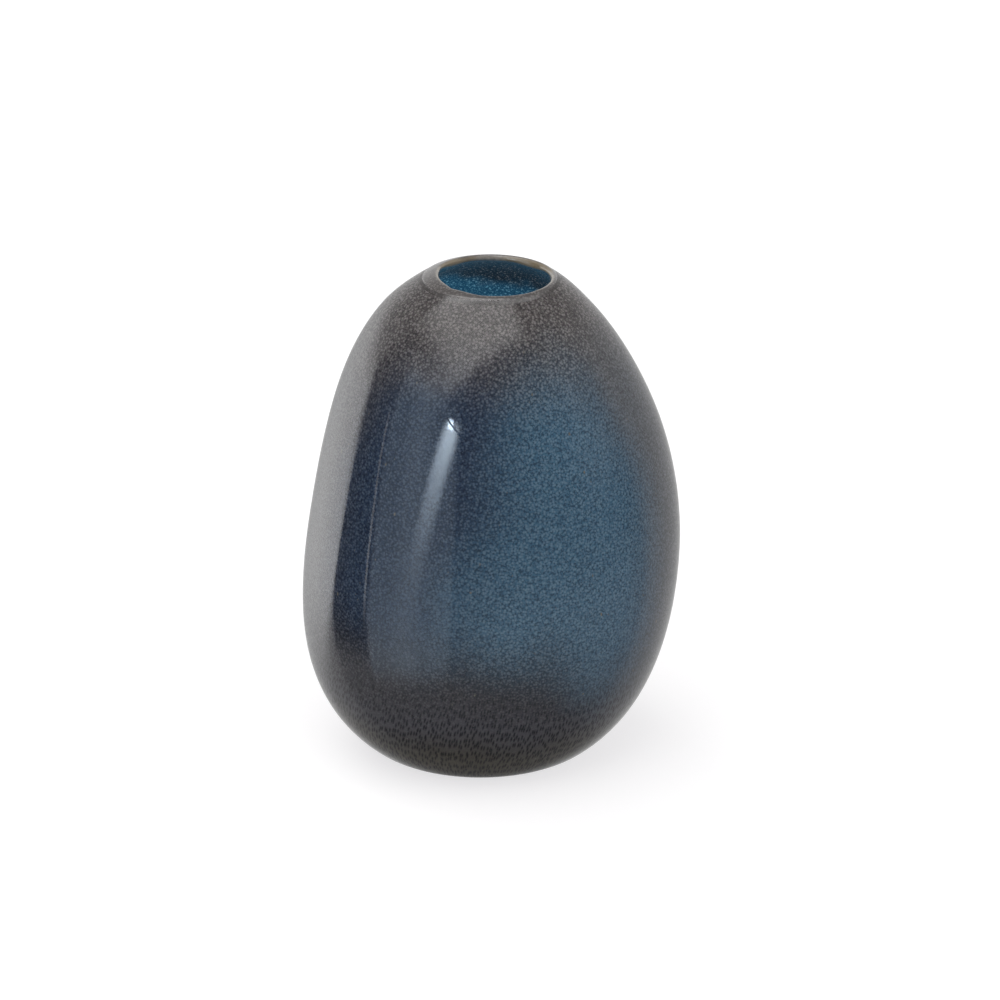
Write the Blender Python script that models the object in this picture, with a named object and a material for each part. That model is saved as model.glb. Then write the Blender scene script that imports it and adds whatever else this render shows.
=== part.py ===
"""Bud vase of mouth-blown, cased glass: a slightly leaning egg with one small round mouth.

Metres, +Z up, front towards -Y. The origin is on the ground, in the middle of the vase's box.
Three gathers of glass lie inside each other: a clear smoke casing with a flat ground foot, a grey
layer full of fine bubbles and a blue lining. A reheated bead of glass rounds off their edge.
"""

import math

import bmesh
import bpy
from mathutils import Matrix, Vector

MM = 0.001

# The egg outline is an ellipse, swollen by a cubic in the rise from its middle.
EGG_RADIUS = 59.0 * MM
EGG_MIDDLE = 77.3 * MM
EGG_HALF_HEIGHT = 87.3 * MM
EGG_SWELL = (-0.157, 0.150, -0.041)
DEPTH_SHARE = 0.96  # front to back, against side to side

# The wall ends a little below the top of the bead that closes it.
WALL_END = 158.5 * MM

# Over its lowest few millimetres the outline draws in softly to the flat foot.
FOOT_EASE = 2.7 * MM
FOOT_EASE_HEIGHT = 3.0 * MM
FOOT_RING_HEIGHTS = (0.0, 1.0 * MM, 2.2 * MM, 3.8 * MM)

# How far the hand-blown body strays from a straight axis, all towards +X.
LEAN = 2.1 * MM  # of the top
BOW = 3.7 * MM  # of the waist
BOW_RISE = 1.2  # above 1, the bow is strongest above half height
MOUTH_OFFSET = 1.0 * MM  # of the mouth, from the middle of the shoulder
MOUTH_OFFSET_FROM = 147.0 * MM

# The thickness of each gather at the lip, in the wall and under the foot.
CASING = (0.60 * MM, 1.6 * MM, 2.5 * MM)
SEEDED = (0.45 * MM, 1.3 * MM, 1.6 * MM)
LINING = (0.55 * MM, 1.6 * MM, 5.0 * MM)
GAP = 0.3 * MM
LIP_FROM = 118.0 * MM  # the wall thins towards the lip above this height
FOOT_TO = 32.0 * MM  # and thickens towards the foot below this one

# The inner bottom hollows towards its middle: rings as (share of its radius, share of the dish).
DISH = 2.0 * MM
DISH_RINGS = ((0.66, 0.6), (0.30, 1.0))

BEAD_RADIUS = 1.08 * MM
BEAD_UNEVEN = 0.40  # the bead is this share thicker towards -X, and thinner opposite

SIDES = 40
WALL_RINGS = 19
BEAD_POINTS = 48
BEAD_RESOLUTION = 3


def clear_scene():
    for item in list(bpy.data.objects):
        bpy.data.objects.remove(item, do_unlink=True)


def glass_material(name, colour, roughness, transmission):
    material = bpy.data.materials.new(name)
    material.use_nodes = True
    shader = material.node_tree.nodes["Principled BSDF"]
    shader.inputs["Base Color"].default_value = (*colour, 1.0)
    shader.inputs["Roughness"].default_value = roughness
    shader.inputs["Metallic"].default_value = 0.0
    shader.inputs["Transmission Weight"].default_value = transmission
    return material


def smoke_glass():
    return glass_material("smoke_glass", (0.34, 0.32, 0.32), 0.02, 0.9)


def seeded_glass():
    return glass_material("seeded_glass", (0.12, 0.13, 0.15), 0.35, 0.3)


def blue_glass():
    return glass_material("blue_glass", (0.02, 0.11, 0.19), 0.08, 0.5)


def lip_glass():
    return glass_material("lip_glass", (0.30, 0.27, 0.23), 0.05, 0.6)


def ease(value, start, end):
    """0 up to start, 1 from end on, with a smooth run between them."""
    share = min(max((value - start) / (end - start), 0.0), 1.0)
    return share * share * (3.0 - 2.0 * share)


def outline(height):
    """The point of the egg's outer outline at this height, as (radius, height)."""
    rise = (height - EGG_MIDDLE) / EGG_HALF_HEIGHT
    swell = 1.0 + sum(factor * rise ** (i + 1) for i, factor in enumerate(EGG_SWELL))
    drawn_in = FOOT_EASE * max(1.0 - height / FOOT_EASE_HEIGHT, 0.0) ** 2
    return Vector((EGG_RADIUS * math.sqrt(1.0 - rise * rise) * swell - drawn_in, height))


def tangent(height):
    """The direction of the outline at this height, upwards."""
    return (outline(height + 0.05 * MM) - outline(height)).normalized()


def outward(height):
    along = tangent(height)
    return Vector((along.y, -along.x))


def sideways(height):
    """How far towards +X the body has strayed at this height."""
    share = height / WALL_END
    strayed = LEAN * share + BOW * math.sin(math.pi * share**BOW_RISE) ** 2
    return strayed + MOUTH_OFFSET * ease(height, MOUTH_OFFSET_FROM, WALL_END)


def thickness(gather, height):
    at_lip, in_wall, at_foot = gather
    lip_share = ease(height, LIP_FROM, WALL_END)
    foot_share = 1.0 - ease(height, 0.0, FOOT_TO)
    return in_wall + (at_lip - in_wall) * lip_share + (at_foot - in_wall) * foot_share


def ring_heights():
    """Heights of the rings: close together at the foot, then at even angles round the egg."""
    first = math.asin((2.0 * FOOT_EASE_HEIGHT - EGG_MIDDLE) / EGG_HALF_HEIGHT)
    last = math.asin((WALL_END - EGG_MIDDLE) / EGG_HALF_HEIGHT)
    angles = [first + (last - first) * i / (WALL_RINGS - 1) for i in range(WALL_RINGS)]
    return [*FOOT_RING_HEIGHTS, *(EGG_MIDDLE + EGG_HALF_HEIGHT * math.sin(a) for a in angles)]


def box_middle():
    """The X of the middle of the strayed egg's box, which stands over the origin."""
    right = max(sideways(height) + outline(height).x for height in ring_heights())
    left = min(sideways(height) - outline(height).x for height in ring_heights())
    return (left + right) / 2.0


def surface(over, own=(0.0, 0.0, 0.0)):
    """The rings of one surface, foot to lip, each as (radius, height, shift towards +X).

    It lies under the gathers in over and the gaps below them, and under the gather own too.
    """
    middle = box_middle()
    rings = []
    for height in ring_heights():
        depth = sum(thickness(gather, height) + GAP for gather in over) + thickness(own, height)
        point = outline(height) - outward(height) * depth
        rings.append((point.x, point.y, sideways(height) - middle))
    return rings


def dished_bottom(ring):
    """Rings that hollow a flat inner bottom, from its middle outwards."""
    radius, height, shift = ring
    return [(radius * share, height - DISH * drop, shift) for share, drop in reversed(DISH_RINGS)]


def add_ring(bm, radius, height, shift):
    place = Matrix.Translation((shift, 0.0, height)) @ Matrix.Diagonal((1.0, DEPTH_SHARE, 1.0, 1.0))
    return bmesh.ops.create_circle(bm, segments=SIDES, radius=radius, matrix=place)["verts"]


def loft(name, rings, material, collection):
    """One closed body through a row of rings, with a flat face on the first and on the last."""
    bm = bmesh.new()
    loops = [add_ring(bm, *ring) for ring in rings]
    for lower, upper in zip(loops, loops[1:]):
        for i in range(SIDES):
            j = (i + 1) % SIDES
            bm.faces.new((lower[i], lower[j], upper[j], upper[i]))
    bm.faces.new(loops[0])
    bm.faces.new(loops[-1])
    bmesh.ops.recalc_face_normals(bm, faces=bm.faces)
    mesh = bpy.data.meshes.new(name)
    bm.to_mesh(mesh)
    bm.free()
    mesh.shade_smooth()
    mesh.set_sharp_from_angle(angle=math.radians(50.0))
    mesh.materials.append(material)
    body = bpy.data.objects.new(name, mesh)
    collection.objects.link(body)
    return body


def outer_casing(collection):
    rings = surface([]) + surface([], CASING)[::-1]
    return loft("outer_casing", rings, smoke_glass(), collection)


def seeded_layer(collection):
    rings = surface([CASING]) + surface([CASING], SEEDED)[::-1]
    return loft("seeded_layer", rings, seeded_glass(), collection)


def blue_lining(collection):
    inside = surface([CASING, SEEDED], LINING)
    rings = surface([CASING, SEEDED]) + (dished_bottom(inside[0]) + inside)[::-1]
    return loft("blue_lining", rings, blue_glass(), collection)


def bead_section(angle):
    """The bead's section at this angle round the mouth: its centre (radius, height) and radius."""
    radius = BEAD_RADIUS * (1.0 - BEAD_UNEVEN * math.cos(angle))
    wall = CASING[0] + SEEDED[0] + LINING[0] + 2.0 * GAP
    wall_middle = outline(WALL_END) - outward(WALL_END) * wall / 2.0
    return wall_middle + tangent(WALL_END) * (radius + GAP), radius


def lip_bead(collection):
    shift = sideways(WALL_END) - box_middle()
    curve = bpy.data.curves.new("lip_bead", "CURVE")
    curve.dimensions = "3D"
    curve.bevel_depth = 1.0
    curve.bevel_resolution = BEAD_RESOLUTION
    spline = curve.splines.new("POLY")
    spline.points.add(BEAD_POINTS - 1)
    spline.use_cyclic_u = True
    for i, point in enumerate(spline.points):
        angle = 2.0 * math.pi * i / BEAD_POINTS
        centre, radius = bead_section(angle)
        across = centre.x * math.cos(angle) + shift
        point.co = (across, centre.x * math.sin(angle) * DEPTH_SHARE, centre.y, 1.0)
        point.radius = radius
    curve.materials.append(lip_glass())
    bead = bpy.data.objects.new("lip_bead", curve)
    collection.objects.link(bead)
    return bead


def main():
    clear_scene()
    collection = bpy.data.collections.new("bud_vase")
    bpy.context.scene.collection.children.link(collection)
    outer_casing(collection)
    seeded_layer(collection)
    blue_lining(collection)
    lip_bead(collection)


main()
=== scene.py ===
"""Looks of the bud vase: cased, seeded blown glass on a pale floor in soft studio light.

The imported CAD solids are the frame. Each one is replaced by a finer mesh of the same gather of
glass, and the gaps that the solids keep are closed, because the real gathers are fused.
"""

import math
import random

import bmesh
import bpy
from mathutils import Matrix, Vector, noise


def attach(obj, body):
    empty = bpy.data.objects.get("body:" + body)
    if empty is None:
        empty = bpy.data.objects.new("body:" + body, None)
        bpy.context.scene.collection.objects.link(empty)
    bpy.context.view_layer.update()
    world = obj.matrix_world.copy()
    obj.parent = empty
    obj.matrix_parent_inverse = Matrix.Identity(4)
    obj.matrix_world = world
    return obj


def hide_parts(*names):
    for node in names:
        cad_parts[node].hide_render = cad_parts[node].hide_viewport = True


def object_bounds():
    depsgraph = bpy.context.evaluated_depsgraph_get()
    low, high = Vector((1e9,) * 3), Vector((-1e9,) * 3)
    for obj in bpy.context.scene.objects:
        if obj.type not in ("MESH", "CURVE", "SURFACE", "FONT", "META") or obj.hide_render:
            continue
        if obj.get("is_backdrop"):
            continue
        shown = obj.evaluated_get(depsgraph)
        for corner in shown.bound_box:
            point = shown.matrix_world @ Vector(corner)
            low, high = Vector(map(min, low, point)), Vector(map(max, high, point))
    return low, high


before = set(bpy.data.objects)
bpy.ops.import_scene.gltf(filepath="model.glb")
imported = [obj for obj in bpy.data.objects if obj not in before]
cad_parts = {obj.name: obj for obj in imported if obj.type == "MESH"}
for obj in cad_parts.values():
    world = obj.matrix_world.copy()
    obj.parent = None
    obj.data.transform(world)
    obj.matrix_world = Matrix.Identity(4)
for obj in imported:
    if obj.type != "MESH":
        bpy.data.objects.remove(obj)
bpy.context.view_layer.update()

MM = 0.001

# The egg outline, as the CAD has it: an ellipse swollen by a cubic in the rise from its middle.
EGG_RADIUS = 59.0 * MM
EGG_MIDDLE = 77.3 * MM
EGG_HALF_HEIGHT = 87.3 * MM
EGG_SWELL = (-0.157, 0.150, -0.041)
DEPTH_SHARE = 0.96
WALL_END = 158.5 * MM
FOOT_EASE = 2.7 * MM
FOOT_EASE_HEIGHT = 3.0 * MM
LEAN = 2.1 * MM
BOW = 3.7 * MM
BOW_RISE = 1.2
MOUTH_OFFSET = 1.0 * MM
MOUTH_OFFSET_FROM = 147.0 * MM

# The reheated lip sank a little, with the glass next to it.
LIP_DROP = 0.2 * MM
LIP_DROP_FROM = 147.0 * MM

# The gathers' thickness at the lip, in the wall and under the foot, with the CAD's gap added.
CASING = (0.75 * MM, 1.9 * MM, 2.8 * MM)
SEEDED = (0.60 * MM, 1.6 * MM, 1.9 * MM)
LINING = (0.50 * MM, 1.6 * MM, 5.0 * MM)
LIP_FROM = 118.0 * MM
FOOT_TO = 32.0 * MM
OVERLAP = 0.1 * MM  # how far fused gathers reach into each other
DISH = 2.0 * MM
DISH_RINGS = 12

SIDES = 144
WALL_RINGS = 88
FOOT_RINGS = 10
RIPPLE = 0.12 * MM  # how far the hand-blown surface dips
RIPPLE_WIDTH = 42.0 * MM

LIP_REACH = 2.85 * MM  # how far the lip reaches inwards from the wall's end
LIP_UNEVEN = 0.58  # it reaches this share further towards -X, and less opposite
LIP_SHORTER = 0.70 * MM  # at the front and the back
LIP_RISE = math.radians(24.0)  # the slope of its top
LIP_SQUARENESS = 2.6  # 2 is round
LIP_PROUD = 0.05 * MM
LIP_SUNK = 0.08 * MM
OUTER_LEG = 0.3 * MM  # how far it blends down over the wall outside and inside
INNER_LEG = 2.2 * MM
LEG_STEPS = 8
CAP_STEPS = 24
# Small nicks and lumps of the lip: (degrees from +X, width in degrees, rise).
LIP_FLAWS = (
    (228.0, 5.0, -0.30 * MM),
    (244.0, 7.0, 0.22 * MM),
    (262.0, 6.0, -0.12 * MM),
    (118.0, 6.0, -0.28 * MM),
    (134.0, 9.0, 0.24 * MM),
    (158.0, 5.0, -0.22 * MM),
    (36.0, 6.0, -0.16 * MM),
    (318.0, 8.0, 0.12 * MM),
)
# Where the lip hangs down thicker inside: (degrees from +X, width in degrees, thicker by).
LIP_SWELLS = (
    (131.0, 17.0, 0.75 * MM),
    (90.0, 20.0, 0.25 * MM),
    (48.0, 16.0, 0.65 * MM),
    (210.0, 20.0, 0.30 * MM),
    (300.0, 24.0, 0.35 * MM),
)

SEED_COUNT = 150
SEED_HEIGHT = (8.0 * MM, 150.0 * MM)
SEED_RADIUS = (0.13 * MM, 0.34 * MM)
SEED_DEPTH = (0.5 * MM, 1.6 * MM)
SEED_STRETCH = (1.0, 2.2)

# The bubble layer's colours, zone by zone, as (of the glass, of the bubbles).
INDIGO = ((0.041, 0.072, 0.138), (0.128, 0.184, 0.275))
# The teal is a painted glow, for light that comes through the wall.
PAINTED_TEAL_GLOW = ((0.101, 0.218, 0.338), (0.232, 0.388, 0.528))
# The sides' grey is in part a painted sheen, the grey of the bubbly layer seen at a slant.
SIDE_GREY_AND_SHEEN = ((0.098, 0.090, 0.098), (0.215, 0.205, 0.212))
# The shoulder's paler grey-brown is in part painted light from above on its bubbles.
SHOULDER_GREY_AND_TOP_LIGHT = ((0.127, 0.113, 0.112), (0.422, 0.392, 0.384))
# Darker and greyer towards the foot, in part the painted sheen of the bubbly layer seen at a slant.
GREY_FOOT = ((0.034, 0.036, 0.047), (0.160, 0.158, 0.182))
BROWN_EDGE = ((0.045, 0.039, 0.027), (0.146, 0.130, 0.100))

# The heights between which one zone gives way to the next, and how far clouds shift them.
SHOULDER_BORDER = (126.0 * MM, 153.0 * MM)
FOOT_BORDER = (37.0 * MM, 69.0 * MM)
EDGE_BORDER = (8.0 * MM, 30.0 * MM)
DASH_BORDER = (22.0 * MM, 50.0 * MM)
CLOUD_DRIFT = 22.0 * MM
FOOT_LOWER = 14.0 * MM  # how much lower the grey foot ends under the painted teal glow

# Bubbles to the metre: in the bubble layer, the finer ones between them, and in the lining.
BUBBLES = 1080.0
FINE_BUBBLES = 1700.0
LINING_BUBBLES = 950.0
DASHES_ROUND = 300.0
DASH_ROW = 3.1 * MM

# The studio's rectangles, in degrees: azimuth from and to, elevation from and to, strength, and
# how soft they are sideways and upwards. Azimuth runs from -Y round to +X.
FLAG = (-108.0, -78.0, -27.0, 26.0, 1.0, 1.2, 5.0)
BOARDS = (
    (-76.5, -24.0, -34.0, 26.0, 0.60, 1.5, 7.0),
    (-80.0, -36.0, 25.0, 38.0, 0.75, 5.0, 4.0),
    (-60.0, -44.0, -34.0, 32.0, 0.35, 5.0, 6.0),
    (58.0, 112.0, 2.0, 60.0, 0.28, 12.0, 8.0),
)
LAMP_TIP = (-31.5, -27.5, 20.0, 23.0, 22.0, 0.8, 0.8)
SEAM = (-80.5, -79.0, -20.0, 10.0, 1.5, 0.4, 4.0)
COOL_LIGHT = (-76.5, -18.0, -34.0, 30.0, 1.0, 1.5, 4.0)
FILLS = ((55.0, 1.5), (-66.0, 0.40))  # (azimuth, strength)
FILL_ELEVATION = 18.0

CAMERA_ELEVATION = math.radians(24.1)
CAMERA_DISTANCE = 1.2
CAMERA_LENS = 135.9  # millimetres, as the sensor's width is
CAMERA_SENSOR = 36.0
CAMERA_ASIDE = 3.0 * MM  # how far towards +X it stands and aims
CAMERA_AIM = 0.517  # the share of the vase's height that it aims at


def ease(value, start, end):
    """0 up to start, 1 from end on, with a smooth run between them."""
    share = min(max((value - start) / (end - start), 0.0), 1.0)
    return share * share * (3.0 - 2.0 * share)


def outline(height):
    """The point of the egg's outer outline at this height, as (radius, height)."""
    rise = (height - EGG_MIDDLE) / EGG_HALF_HEIGHT
    swell = 1.0 + sum(factor * rise ** (i + 1) for i, factor in enumerate(EGG_SWELL))
    drawn_in = FOOT_EASE * max(1.0 - height / FOOT_EASE_HEIGHT, 0.0) ** 2
    radius = EGG_RADIUS * math.sqrt(1.0 - rise * rise) * swell - drawn_in
    return Vector((radius, height - LIP_DROP * ease(height, LIP_DROP_FROM, WALL_END)))


def tangent(height):
    return (outline(height + 0.05 * MM) - outline(height)).normalized()


def outward(height):
    along = tangent(height)
    return Vector((along.y, -along.x))


def sideways(height):
    """How far towards +X the hand-blown body has strayed at this height."""
    share = height / WALL_END
    strayed = LEAN * share + BOW * math.sin(math.pi * share**BOW_RISE) ** 2
    return strayed + MOUTH_OFFSET * ease(height, MOUTH_OFFSET_FROM, WALL_END)


def thickness(gather, height):
    at_lip, in_wall, at_foot = gather
    lip_share = ease(height, LIP_FROM, WALL_END)
    foot_share = 1.0 - ease(height, 0.0, FOOT_TO)
    return in_wall + (at_lip - in_wall) * lip_share + (at_foot - in_wall) * foot_share


def ring_heights():
    foot = [FOOT_EASE_HEIGHT * 2.0 * (i / FOOT_RINGS) ** 1.5 for i in range(FOOT_RINGS)]
    first = math.asin((2.0 * FOOT_EASE_HEIGHT - EGG_MIDDLE) / EGG_HALF_HEIGHT)
    last = math.asin((WALL_END - EGG_MIDDLE) / EGG_HALF_HEIGHT)
    angles = [first + (last - first) * i / (WALL_RINGS - 1) for i in range(WALL_RINGS)]
    return foot + [EGG_MIDDLE + EGG_HALF_HEIGHT * math.sin(angle) for angle in angles]


HEIGHTS = ring_heights()


def box_middle():
    right = max(sideways(height) + outline(height).x for height in HEIGHTS)
    left = min(sideways(height) - outline(height).x for height in HEIGHTS)
    return (left + right) / 2.0


BOX_MIDDLE = box_middle()


def ripple(angle, height):
    """How far the surface dips here, from 0 to RIPPLE."""
    around = EGG_RADIUS / RIPPLE_WIDTH
    place = Vector((around * math.cos(angle), around * math.sin(angle), height / RIPPLE_WIDTH))
    return RIPPLE * (0.5 + 0.5 * noise.noise(place * 2.0))


def place(angle, radius, height, shift):
    across = radius * math.cos(angle) + shift
    return Vector((across, radius * math.sin(angle) * DEPTH_SHARE, height))


def surface(over, nudge=0.0):
    """The rings of one surface, foot to lip, each as (radius, height, shift towards +X).

    It lies under the gathers in over, and nudge further out.
    """
    rings = []
    for height in HEIGHTS:
        depth = sum(thickness(gather, height) for gather in over) - nudge
        point = outline(height) - outward(height) * depth
        rings.append((point.x, point.y, sideways(height) - BOX_MIDDLE))
    return rings


def dished_bottom(ring):
    """Rings that hollow a flat inner bottom, from its middle outwards."""
    radius, height, shift = ring
    rings = []
    for i in range(1, DISH_RINGS):
        share = i / DISH_RINGS
        drop = DISH * (0.5 + 0.5 * math.cos(math.pi * share))
        rings.append((radius * share, height - drop, shift))
    return rings


def finished(name, bm, material, slot, *nodes):
    """The piece that stands for these CAD nodes, riding on the one body."""
    bmesh.ops.recalc_face_normals(bm, faces=bm.faces)
    mesh = bpy.data.meshes.new(name)
    bm.to_mesh(mesh)
    bm.free()
    mesh.shade_smooth()
    mesh.set_sharp_from_angle(angle=math.radians(40.0))
    mesh.materials.append(material)
    piece = bpy.data.objects.new(name, mesh)
    bpy.context.scene.collection.objects.link(piece)
    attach(piece, "root")
    if nodes:
        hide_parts(*nodes)
    return piece


def bridge(bm, lower, upper):
    for i in range(len(lower)):
        j = (i + 1) % len(lower)
        bm.faces.new((lower[i], lower[j], upper[j], upper[i]))


def loft(rings):
    """One closed body through a row of rings, with a flat face on the first and on the last."""
    bm = bmesh.new()
    loops = []
    for radius, height, shift in rings:
        angles = [2.0 * math.pi * i / SIDES for i in range(SIDES)]
        points = [place(a, radius - ripple(a, height), height, shift) for a in angles]
        loops.append([bm.verts.new(point) for point in points])
    for lower, upper in zip(loops, loops[1:]):
        bridge(bm, lower, upper)
    bm.faces.new(loops[0])
    bm.faces.new(loops[-1])
    return bm


class Nodes:
    """A short way to write a node tree: each call adds one node and gives its output."""

    def __init__(self, tree):
        self.tree = tree

    def add(self, kind, inputs=(), output=0, **settings):
        node = self.tree.nodes.new(kind)
        for name, value in settings.items():
            setattr(node, name, value)
        for name, value in dict(inputs).items():
            socket = node.inputs[name]
            if isinstance(value, bpy.types.NodeSocket):
                self.tree.links.new(value, socket)
            else:
                socket.default_value = value
        return node.outputs[output]

    def math(self, operation, *values, clamp=False):
        inputs = enumerate(values)
        return self.add("ShaderNodeMath", inputs, operation=operation, use_clamp=clamp)

    def smooth(self, value, low, high, start=0.0, end=1.0):
        """start where value is at low, end where it is at high, with a smooth run between."""
        inputs = {"Value": value, "From Min": low, "From Max": high, "To Min": start, "To Max": end}
        return self.add("ShaderNodeMapRange", inputs, interpolation_type="SMOOTHSTEP")

    def between(self, value, low, high, soft):
        """1 from low to high, falling softly to 0 outside."""
        rise = self.smooth(value, low - soft, low + soft)
        fall = self.smooth(value, high - soft, high + soft, 1.0, 0.0)
        return self.math("MULTIPLY", rise, fall)

    def mix(self, factor, first, second):
        """A mix of two colours."""
        node = self.tree.nodes.new("ShaderNodeMix")
        node.data_type = "RGBA"
        for index, value in ((0, factor), (6, first), (7, second)):
            if isinstance(value, bpy.types.NodeSocket):
                self.tree.links.new(value, node.inputs[index])
            else:
                node.inputs[index].default_value = value
        return node.outputs[2]

    def noise(self, where, scale, detail=2.0, roughness=0.5, distortion=0.0):
        inputs = {
            "Vector": where, "Scale": scale, "Detail": detail,
            "Roughness": roughness, "Distortion": distortion,
        }
        return self.add("ShaderNodeTexNoise", inputs)

    def cells(self, where, scale, randomness=1.0, dimensions="3D"):
        """The distance to the nearest cell's middle, in cells."""
        inputs = {"Vector": where, "Scale": scale, "Randomness": randomness}
        return self.add("ShaderNodeTexVoronoi", inputs, voronoi_dimensions=dimensions)

    def split(self, vector):
        node = self.tree.nodes.new("ShaderNodeSeparateXYZ")
        self.tree.links.new(vector, node.inputs[0])
        return node.outputs

    def combine(self, x, y, z):
        return self.add("ShaderNodeCombineXYZ", {"X": x, "Y": y, "Z": z})


def colour(red, green, blue):
    return (red, green, blue, 1.0)


def new_material(name):
    material = bpy.data.materials.new(name)
    material.use_nodes = True
    shader = material.node_tree.nodes["Principled BSDF"]
    return material, Nodes(material.node_tree), shader


def set_inputs(nodes, shader, **values):
    for name, value in values.items():
        socket = shader.inputs[name.replace("_", " ")]
        if isinstance(value, bpy.types.NodeSocket):
            nodes.tree.links.new(value, socket)
        else:
            socket.default_value = value


def smoke_glass():
    """Clear, faintly smoky glass, mirror smooth."""
    material, nodes, shader = new_material("smoke_glass")
    set_inputs(
        nodes, shader, Base_Color=colour(0.97, 0.96, 0.96), Roughness=0.0, IOR=1.5,
        Transmission_Weight=1.0,
    )
    return material


def zone_colours(nodes, angle, z, cloud, drift):
    """The colours of the bubble layer's glass and of its bubbles, zone by zone, with painted light
    in them: a teal glow, a grey sheen on the sides and foot, and light from above on the shoulder.

    The angle runs round the egg from the front towards +X.
    """
    shaken = nodes.math("ADD", z, drift)
    # The shoulder: grey-brown glass, paler with painted light from above.
    above = nodes.smooth(shaken, *SHOULDER_BORDER)
    edge = nodes.smooth(shaken, *EDGE_BORDER, 1.0, 0.0)

    # A painted teal glow, for light that comes through the wall, on one side, further round it the
    # higher up; it turns to indigo round the egg.
    turned = nodes.math("ADD", nodes.math("MULTIPLY", z, 5.5), 0.10)
    swing = nodes.math("COSINE", nodes.math("SUBTRACT", angle, turned))
    leaning = nodes.math("ADD", swing, nodes.math("MULTIPLY", cloud, 0.3))
    teal = nodes.smooth(leaning, 0.74, 1.13)
    # The grey foot, in part painted sheen, ends lower under the painted teal glow.
    right = nodes.smooth(nodes.math("COSINE", nodes.math("SUBTRACT", angle, 0.95)), 0.78, 0.98)
    lower = nodes.math("ADD", shaken, nodes.math("MULTIPLY", right, FOOT_LOWER))
    below = nodes.smooth(lower, *FOOT_BORDER, 1.0, 0.0)

    # The two sides are grey-brown, in part a painted sheen, the grey that the bubbly layer shows
    # where it is seen at a slant, more widely so towards the shoulder.
    around = nodes.math("ABSOLUTE", nodes.math("ADD", angle, nodes.math("MULTIPLY", drift, 9.0)))
    wider = nodes.smooth(z, 95.0 * MM, 140.0 * MM, 0.0, 0.20)
    side_grey_and_sheen = nodes.between(nodes.math("ADD", around, wider), 1.04, 2.2, 0.26)
    side_grey_and_sheen = nodes.math("MULTIPLY", side_grey_and_sheen, 0.80)

    ground, speck = (colour(*tone) for tone in INDIGO)
    shares = (teal, side_grey_and_sheen, above, below, edge)
    zones = (PAINTED_TEAL_GLOW, SIDE_GREY_AND_SHEEN, SHOULDER_GREY_AND_TOP_LIGHT, GREY_FOOT, BROWN_EDGE)
    for share, (glass, bubbles) in zip(shares, zones):
        ground = nodes.mix(share, ground, colour(*glass))
        speck = nodes.mix(share, speck, colour(*bubbles))
    return ground, speck


def drawn_out_bubbles(nodes, angle, z):
    """Rows of short dashes round the foot, which slant more on one side than on the other."""
    turns = nodes.math("MULTIPLY", angle, DASHES_ROUND / (2.0 * math.pi))
    slope = nodes.math("MULTIPLY", nodes.math("SINE", angle), -420.0)
    slant = nodes.math("MULTIPLY", z, nodes.math("ADD", slope, 220.0))
    turns = nodes.math("SUBTRACT", turns, slant)
    rows = nodes.math("MULTIPLY", z, 1.0 / DASH_ROW)
    dashes = nodes.cells(nodes.combine(turns, rows, 0.0), 1.0, 0.8, "2D")
    return nodes.smooth(dashes, 0.12, 0.54, 0.0, 0.95)


def seeded_glass():
    """Grey-blue glass, cloudy with bubbles about a millimetre apart."""
    material, nodes, shader = new_material("seeded_glass")
    where = nodes.add("ShaderNodeTexCoord", output="Object")
    x, y, z = nodes.split(where)
    angle = nodes.math("ARCTAN2", x, nodes.math("MULTIPLY", y, -1.0))
    cloud = nodes.noise(where, 26.0, 3.0)
    drift = nodes.math("MULTIPLY", nodes.math("SUBTRACT", cloud, 0.5), CLOUD_DRIFT)
    ground, speck = zone_colours(nodes, angle, z, cloud, drift)

    # The grain: a bubble in each cell, with finer ones between, in unevenly dark glass.
    bubbles = nodes.smooth(nodes.cells(where, BUBBLES), 0.12, 0.62, 0.88, 0.0)
    specks = nodes.smooth(nodes.cells(where, FINE_BUBBLES), 0.10, 0.46, 0.65, 0.0)
    spots = nodes.math("MAXIMUM", bubbles, specks)
    veil = nodes.smooth(nodes.noise(where, 1500.0, 1.0), 0.35, 0.65, 0.45, 1.0)

    # Near the foot the bubbles are drawn out.
    dash = drawn_out_bubbles(nodes, angle, z)
    low = nodes.smooth(nodes.math("ADD", z, drift), *DASH_BORDER, 0.8, 0.0)
    spots = nodes.add("ShaderNodeMix", {0: low, 2: spots, 3: dash}, data_type="FLOAT")
    veil = nodes.math("MULTIPLY", veil, nodes.smooth(low, 0.0, 1.0, 1.0, 0.45))
    tone = nodes.mix(spots, nodes.mix(veil, colour(0.004, 0.006, 0.012), ground), speck)

    height = nodes.math("ADD", spots, nodes.noise(where, 2400.0))
    bump = nodes.add("ShaderNodeBump", {"Height": height, "Strength": 0.8, "Distance": 0.18 * MM})
    set_inputs(nodes, shader, Base_Color=tone, Roughness=0.35, Normal=bump, IOR=1.25)
    return material


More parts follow.
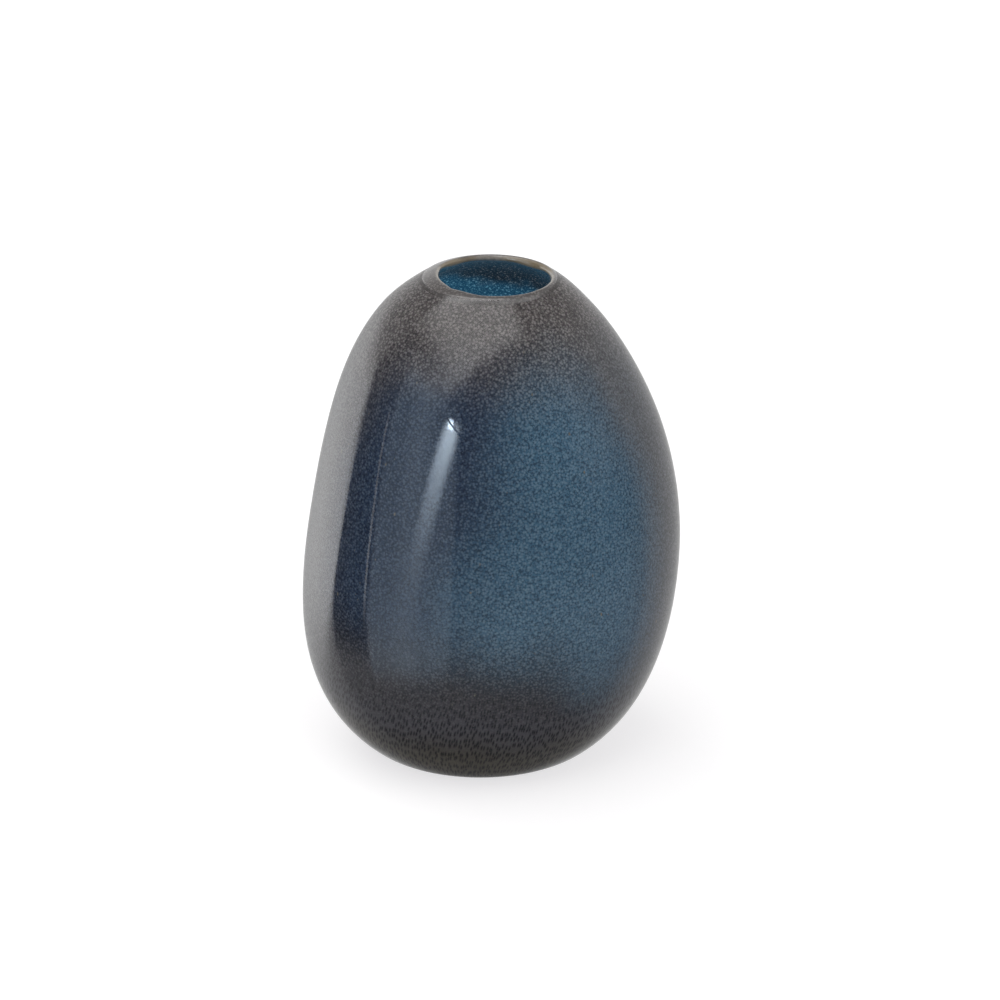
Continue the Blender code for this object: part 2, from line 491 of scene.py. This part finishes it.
def blue_glass():
    """Deep teal-blue glass, smooth inside and full of bright bubbles, with a painted glow, by
    emission, for the light that comes through the wall.
    """
    material, nodes, shader = new_material("blue_glass")
    where = nodes.add("ShaderNodeTexCoord", output="Object")
    x, _, z = nodes.split(where)
    cloud = nodes.noise(where, 160.0, 3.0)

    # Painted shade inside the neck: it darkens towards the lip, further down on one side.
    rise = nodes.math("ADD", z, nodes.math("MULTIPLY", x, 0.22))
    rise = nodes.math("ADD", rise, nodes.math("MULTIPLY", cloud, 8.0 * MM))
    dark = nodes.smooth(rise, 146.0 * MM, 154.0 * MM)
    deep = nodes.mix(cloud, colour(0.008, 0.054, 0.108), colour(0.030, 0.132, 0.222))
    deep = nodes.mix(dark, deep, colour(0.008, 0.004, 0.004))

    bubbles = nodes.smooth(nodes.cells(where, LINING_BUBBLES), 0.10, 0.45, 1.0, 0.0)
    specks = nodes.smooth(nodes.cells(where, FINE_BUBBLES), 0.08, 0.42, 0.8, 0.0)
    spots = nodes.math("MAXIMUM", bubbles, specks)
    # The bubbles, too, are dimmer in the painted shade.
    share = nodes.math("MULTIPLY", spots, nodes.smooth(dark, 0.0, 1.0, 0.95, 0.50))
    bright = nodes.mix(dark, colour(0.17, 0.42, 0.56), colour(0.28, 0.26, 0.25))
    tone = nodes.mix(share, deep, bright)
    bump = nodes.add("ShaderNodeBump", {"Height": spots, "Strength": 0.6, "Distance": 0.15 * MM})
    # The emission is a painted glow, for light that comes through the wall.
    set_inputs(
        nodes, shader, Base_Color=tone, Roughness=0.22, Normal=bump, IOR=1.5,
        Coat_Weight=1.0, Coat_Roughness=0.03, Emission_Color=tone, Emission_Strength=0.42,
    )
    return material


def lip_glass():
    """Fire-polished beige-grey glass with brownish gold where it ran together."""
    material, nodes, shader = new_material("lip_glass")
    where = nodes.add("ShaderNodeTexCoord", output="Object")
    cloud = nodes.noise(where, 190.0, 4.0, 0.6, 0.6)
    dark = colour(0.090, 0.082, 0.072)
    grey = nodes.mix(nodes.noise(where, 900.0, 3.0), dark, colour(0.330, 0.305, 0.275))

    # It is more golden towards the back, on both sides.
    x, y, _ = nodes.split(where)
    corner = nodes.math("MULTIPLY", nodes.math("ABSOLUTE", x), y)
    corner = nodes.smooth(corner, 40.0 * MM * MM, 110.0 * MM * MM, 0.0, 0.75)
    gold = nodes.math("MAXIMUM", nodes.smooth(cloud, 0.52, 0.66), corner)
    tone = nodes.mix(gold, grey, colour(0.165, 0.128, 0.074))

    # Outside it runs out into the bubbly shoulder.
    middle = sideways(WALL_END) - BOX_MIDDLE + LIP_UNEVEN * LIP_REACH
    across = nodes.math("SUBTRACT", x, middle)
    deep = nodes.math("DIVIDE", y, DEPTH_SHARE)
    flat = nodes.combine(across, deep, 0.0)
    radius = nodes.add("ShaderNodeVectorMath", {0: flat}, "Value", operation="LENGTH")
    edge = nodes.smooth(radius, 17.9 * MM, 19.0 * MM)
    bubbles = nodes.smooth(nodes.cells(where, BUBBLES), 0.12, 0.60, 1.0, 0.0)
    shoulder = nodes.mix(bubbles, colour(0.055, 0.049, 0.048), colour(0.125, 0.114, 0.110))
    tone = nodes.mix(edge, tone, shoulder)
    bump = nodes.add("ShaderNodeBump", {"Height": cloud, "Strength": 0.4, "Distance": 0.4 * MM})
    # The emission is a painted glow, for light that comes through the lip's glass.
    set_inputs(
        nodes, shader, Base_Color=tone, Roughness=0.22, Normal=bump, IOR=1.5, Coat_Weight=1.0,
        Coat_Roughness=0.04, Emission_Color=tone, Emission_Strength=0.22,
    )
    return material


def seed_glass():
    """The bright skin of a larger bubble."""
    material, nodes, shader = new_material("seed_glass")
    where = nodes.add("ShaderNodeTexCoord", output="Object")
    tone = nodes.mix(nodes.noise(where, 500.0), colour(0.12, 0.12, 0.12), colour(0.40, 0.38, 0.34))
    set_inputs(nodes, shader, Base_Color=tone, Roughness=0.15, IOR=1.5)
    return material


def casing():
    rings = surface([]) + surface([CASING], -OVERLAP)[::-1]
    return finished("casing", loft(rings), smoke_glass(), "smoke_glass", "outer_casing")


def seeded():
    rings = surface([CASING], OVERLAP) + surface([CASING, SEEDED], -OVERLAP)[::-1]
    return finished("bubble_layer", loft(rings), seeded_glass(), "seeded_glass", "seeded_layer")


def lining():
    inside = surface([CASING, SEEDED, LINING])
    rings = surface([CASING, SEEDED], OVERLAP) + (dished_bottom(inside[0]) + inside)[::-1]
    return finished("lining", loft(rings), blue_glass(), "blue_glass", "blue_lining")


def lumps(angle, places):
    """The sum of these lumps at this angle round the mouth."""
    total = 0.0
    for degrees, width, size in places:
        away = (math.degrees(angle) - degrees + 180.0) % 360.0 - 180.0
        total += size * math.exp(-((away / width) ** 2))
    return total


def lip_section(angle):
    """The lip's section at this angle, a closed row of (radius, height), outside foot first."""
    wobble = noise.noise(Vector((3.0 * math.cos(angle), 3.0 * math.sin(angle), 0.7)))
    reach = LIP_REACH * (1.0 - LIP_UNEVEN * math.cos(angle)) + 0.10 * MM * wobble
    reach -= LIP_SHORTER * math.sin(angle) ** 2
    reach += lumps(angle, LIP_FLAWS)
    swollen = lumps(angle, LIP_SWELLS)
    out = outward(WALL_END)
    inward = Vector((-math.cos(LIP_RISE), math.sin(LIP_RISE)))
    wall = sum(thickness(gather, WALL_END) for gather in (CASING, SEEDED, LINING))
    middle = outline(WALL_END) - out * wall / 2.0
    outside = []
    inside = []
    for i in range(LEG_STEPS):
        share = i / LEG_STEPS
        proud = LIP_PROUD * ease(share, 0.0, 1.0) - LIP_SUNK * (1.0 - share)
        height = WALL_END - OUTER_LEG * (1.0 - share)
        outside.append(outline(height) + outward(height) * proud)
        height = WALL_END - INNER_LEG * (1.0 - share)
        depth = sum(thickness(gather, height) for gather in (CASING, SEEDED, LINING))
        depth += proud + swollen * ease(share, 0.0, 1.0)
        inside.append(outline(height) - outward(height) * depth)
    cap = []
    for i in range(CAP_STEPS + 1):
        turn = math.pi * i / CAP_STEPS
        half = wall / 2.0 + LIP_PROUD + (swollen if i > CAP_STEPS / 2 else 0.0)
        across = math.copysign(abs(math.cos(turn)) ** (2.0 / LIP_SQUARENESS), math.cos(turn))
        along = abs(math.sin(turn)) ** (2.0 / LIP_SQUARENESS)
        cap.append(middle + out * half * across + inward * reach * along)
    return outside + cap + inside[::-1]


def lip():
    bm = bmesh.new()
    shift = sideways(WALL_END) - BOX_MIDDLE
    loops = []
    for i in range(SIDES):
        angle = 2.0 * math.pi * i / SIDES
        section = lip_section(angle)
        loops.append([bm.verts.new(place(angle, point.x, point.y, shift)) for point in section])
    for i in range(SIDES):
        bridge(bm, loops[i], loops[(i + 1) % SIDES])
    return finished("lip", bm, lip_glass(), "lip_glass", "lip_bead")


def seeds():
    """The larger bubbles, drawn out along the wall as the glass was blown."""
    draw = random.Random(11)
    bm = bmesh.new()
    for _ in range(SEED_COUNT):
        height = draw.uniform(*SEED_HEIGHT)
        angle = draw.uniform(0.0, 2.0 * math.pi)
        depth = draw.uniform(*SEED_DEPTH)
        size = SEED_RADIUS[0] + (SEED_RADIUS[1] - SEED_RADIUS[0]) * draw.random() ** 3
        point = outline(height) - outward(height) * depth
        along = tangent(height)
        radius = point.x - ripple(angle, height)
        centre = place(angle, radius, point.y, sideways(height) - BOX_MIDDLE)
        lengthwise = Vector((along.x * math.cos(angle), along.x * math.sin(angle), along.y))
        turned = lengthwise.to_track_quat("Z", "Y").to_matrix().to_4x4()
        shape = Matrix.Diagonal((size, size, size * draw.uniform(*SEED_STRETCH), 1.0))
        matrix = Matrix.Translation(centre) @ turned @ shape
        bmesh.ops.create_icosphere(bm, subdivisions=2, radius=1.0, matrix=matrix)
    return finished("seed_bubbles", bm, seed_glass(), "seeded_glass")


def heading(azimuth, elevation):
    """The unit vector towards this azimuth, from -Y round to +X, and elevation in degrees."""
    turn = math.radians(azimuth)
    rise = math.radians(elevation)
    across = math.cos(rise)
    return Vector((across * math.sin(turn), -across * math.cos(turn), math.sin(rise)))


class Studio:
    """The directions from which the world shader gives light, as values in its node tree.

    Mirrored is 1 for light that a surface mirrors, and 0 for all other light, such as the light
    that comes through the casing.
    """

    def __init__(self, nodes):
        self.nodes = nodes
        self.direction = nodes.add("ShaderNodeTexCoord", output="Generated")
        self.x, self.y, self.z = nodes.split(self.direction)
        turn = nodes.math("ARCTAN2", self.x, nodes.math("MULTIPLY", self.y, -1.0))
        self.azimuth = nodes.math("DEGREES", turn)
        self.elevation = nodes.math("DEGREES", nodes.math("ARCSINE", self.z))
        glossy = nodes.add("ShaderNodeLightPath", output="Is Glossy Ray")
        through = nodes.add("ShaderNodeLightPath", output="Is Transmission Ray")
        self.mirrored = nodes.math("SUBTRACT", glossy, through, clamp=True)

    def rectangle(self, left, right, low, high, strength, soft, soft_rise):
        across = self.nodes.between(self.azimuth, left, right, soft)
        up = self.nodes.between(self.elevation, low, high, soft_rise)
        return self.nodes.math("MULTIPLY", self.nodes.math("MULTIPLY", across, up), strength)

    def choose(self, other, mirrored):
        """One value for mirrored light, and another for all other light."""
        return self.nodes.smooth(self.mirrored, 0.0, 1.0, other, mirrored)


def room(studio):
    """A room that is pale behind the vase and dark in front of it, with a dark flag on the left.

    Its floor is paler close to the vase than far off, but dark right below it.
    """
    nodes = studio.nodes
    elevation = studio.elevation
    walls = nodes.smooth(nodes.math("ABSOLUTE", studio.azimuth), 90.0, 112.0, 0.05, 0.62)
    floor = nodes.smooth(elevation, -30.0, -4.0, 0.55, 0.10)
    floor = nodes.math("MULTIPLY", floor, studio.choose(1.2, 0.70))
    below = nodes.smooth(elevation, -6.0, 0.0, 1.0, 0.0)
    light = nodes.math("MAXIMUM", walls, nodes.math("MULTIPLY", below, floor))
    light = nodes.math("MULTIPLY", light, nodes.smooth(elevation, -66.0, -28.0, 0.30, 1.0))
    light = nodes.math("MULTIPLY", light, nodes.smooth(elevation, 10.0, 46.0, 1.0, 0.45))
    unflagged = nodes.math("SUBTRACT", 1.0, studio.rectangle(*FLAG))
    return nodes.math("MULTIPLY", light, unflagged)


def left_panel(studio):
    """A panel that is brightest at its near edge, which bows away above and below."""
    nodes = studio.nodes
    elevation = studio.elevation
    near = nodes.smooth(studio.azimuth, -168.0, -108.0, 0.0, 1.9)
    blur = nodes.smooth(elevation, -42.0, -14.0, 18.0, 1.0)
    blur = nodes.math("ADD", blur, nodes.smooth(elevation, -9.0, 0.0, 0.0, 3.0))
    bow = nodes.math("POWER", nodes.math("ADD", elevation, 3.0), 2.0)
    bow = nodes.math("MULTIPLY", bow, 0.02)
    edge = nodes.math("ADD", studio.azimuth, nodes.math("ADD", bow, 104.0))
    edge = nodes.smooth(nodes.math("DIVIDE", edge, blur), -1.0, 1.0, 1.0, 0.0)
    rise = nodes.smooth(elevation, -40.0, -16.0)
    rise = nodes.math("MULTIPLY", rise, nodes.smooth(elevation, 1.0, 18.0, 1.0, 0.0))
    return nodes.math("MULTIPLY", nodes.math("MULTIPLY", near, edge), rise)


def boards(studio):
    """The grey board on the left, with brighter patches, and a weak one on the right."""
    light = studio.rectangle(*BOARDS[0])
    for board in BOARDS[1:]:
        light = studio.nodes.math("ADD", light, studio.rectangle(*board))
    return light


def overhead_panel(studio):
    """A slanting panel on a plane at unit height above the vase."""
    nodes = studio.nodes
    over = nodes.math("MAXIMUM", studio.z, 0.05)
    across = nodes.math("DIVIDE", studio.x, over)
    along = nodes.math("DIVIDE", studio.y, over)
    slant = nodes.math("SUBTRACT", along, nodes.math("MULTIPLY", across, 0.7))
    front = nodes.smooth(slant, -0.95, -0.60)
    right = nodes.math("ADD", across, nodes.math("MULTIPLY", along, 0.7))
    right = nodes.smooth(right, 0.10, 0.46, 1.0, 0.0)
    sides = nodes.math("MULTIPLY", nodes.smooth(across, -1.25, -0.45), right)
    depth = nodes.math("MULTIPLY", along, studio.choose(1.0, 5.0))
    back = nodes.smooth(depth, 1.6, 2.4, 1.0, 0.0)
    back = nodes.math("MULTIPLY", back, nodes.smooth(studio.z, 0.05, 0.2))
    panel = nodes.math("MULTIPLY", front, nodes.math("MULTIPLY", sides, back))
    return nodes.math("MULTIPLY", panel, studio.choose(2.1, 2.0))


def fill_lights(studio):
    """Soft light from both sides, kept out of the mirror image as a polariser would."""
    nodes = studio.nodes
    fills = []
    for azimuth, strength in FILLS:
        inputs = {0: studio.direction, 1: heading(azimuth, FILL_ELEVATION)}
        towards = nodes.add("ShaderNodeVectorMath", inputs, "Value", operation="DOT_PRODUCT")
        fills.append(nodes.smooth(towards, 0.70, 0.97, 0.0, strength))
    unmirrored = nodes.math("SUBTRACT", 1.0, studio.mirrored)
    return nodes.math("MULTIPLY", nodes.math("ADD", *fills), unmirrored)


def lamp(studio):
    """A leaning strip with a bright tip and a dark slit across it, and a thin seam by the flag.

    The strip's azimuth rises with its elevation. Both show only in the mirror image.
    """
    nodes = studio.nodes
    elevation = studio.elevation
    middle = nodes.smooth(elevation, -30.0, 34.0, -52.0, -25.0)
    strip = nodes.between(nodes.math("SUBTRACT", studio.azimuth, middle), -5.2, 4.4, 3.3)
    fading = nodes.math("POWER", nodes.smooth(elevation, -26.0, 26.0), 1.9)
    top = nodes.smooth(elevation, 19.0, 24.0, 9.5, 0.0)
    strip = nodes.math("MULTIPLY", strip, nodes.math("MULTIPLY", fading, top))
    strip = nodes.math("ADD", strip, studio.rectangle(*LAMP_TIP))
    slit = nodes.math("ADD", elevation, nodes.math("MULTIPLY", studio.azimuth, 0.35))
    slit = nodes.math("SUBTRACT", 1.0, nodes.between(slit, 11.0, 11.9, 0.25))
    light = nodes.math("MULTIPLY", strip, slit)
    light = nodes.math("ADD", light, studio.rectangle(*SEAM))
    return nodes.math("MULTIPLY", light, studio.mirrored)


def studio_world():
    """Soft boxes and dark flags all round, as the glass mirrors them; the camera sees white."""
    world = bpy.data.worlds.new("studio")
    bpy.context.scene.world = world
    world.use_nodes = True
    nodes = Nodes(world.node_tree)
    studio = Studio(nodes)
    total = room(studio)
    for light in (left_panel, boards, overhead_panel, fill_lights, lamp):
        total = nodes.math("ADD", total, light(studio))
    seen = nodes.add("ShaderNodeLightPath", output="Is Camera Ray")
    strength = nodes.add("ShaderNodeMix", {0: seen, 2: total, 3: 1.0}, data_type="FLOAT")
    cool = nodes.math("MULTIPLY", studio.rectangle(*COOL_LIGHT), studio.mirrored)
    tint = nodes.mix(cool, colour(1.0, 1.0, 1.0), colour(0.86, 1.02, 1.18))
    background = world.node_tree.nodes["Background"]
    world.node_tree.links.new(tint, background.inputs["Color"])
    world.node_tree.links.new(strength, background.inputs["Strength"])


def pale_floor():
    """A white floor. For the camera it glows a little, so that shadows on it stay pale."""
    bm = bmesh.new()
    bmesh.ops.create_grid(bm, x_segments=1, y_segments=1, size=4.0)
    mesh = bpy.data.meshes.new("floor")
    bm.to_mesh(mesh)
    bm.free()
    material, nodes, shader = new_material("floor_white")
    seen = nodes.add("ShaderNodeLightPath", output="Is Camera Ray")
    tone = nodes.mix(seen, colour(0.80, 0.80, 0.80), colour(0.38, 0.38, 0.37))
    glow = nodes.math("MULTIPLY", seen, 0.70)
    set_inputs(
        nodes, shader, Base_Color=tone, Roughness=0.9, Emission_Color=colour(0.99, 0.98, 1.0),
        Emission_Strength=glow,
    )
    mesh.materials.append(material)
    floor = bpy.data.objects.new("floor", mesh)
    bpy.context.scene.collection.objects.link(floor)
    floor.location.z = -0.05 * MM
    floor.visible_glossy = False
    floor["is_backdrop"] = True


def camera():
    """From the front, looking down at the reference's angle."""
    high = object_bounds()[1]
    target = Vector((CAMERA_ASIDE, 0.0, CAMERA_AIM * high[2]))
    away = Vector((0.0, -math.cos(CAMERA_ELEVATION), math.sin(CAMERA_ELEVATION)))
    data = bpy.data.cameras.new("camera")
    data.lens = CAMERA_LENS
    data.sensor_width = CAMERA_SENSOR
    eye = bpy.data.objects.new("camera", data)
    bpy.context.scene.collection.objects.link(eye)
    eye.location = target + CAMERA_DISTANCE * away
    eye.rotation_euler = (math.radians(90.0) - CAMERA_ELEVATION, 0.0, 0.0)
    bpy.context.scene.camera = eye


casing()
seeded()
lining()
lip()
seeds()
studio_world()
pale_floor()
camera()
bpy.context.scene.view_settings.view_transform = "Standard"
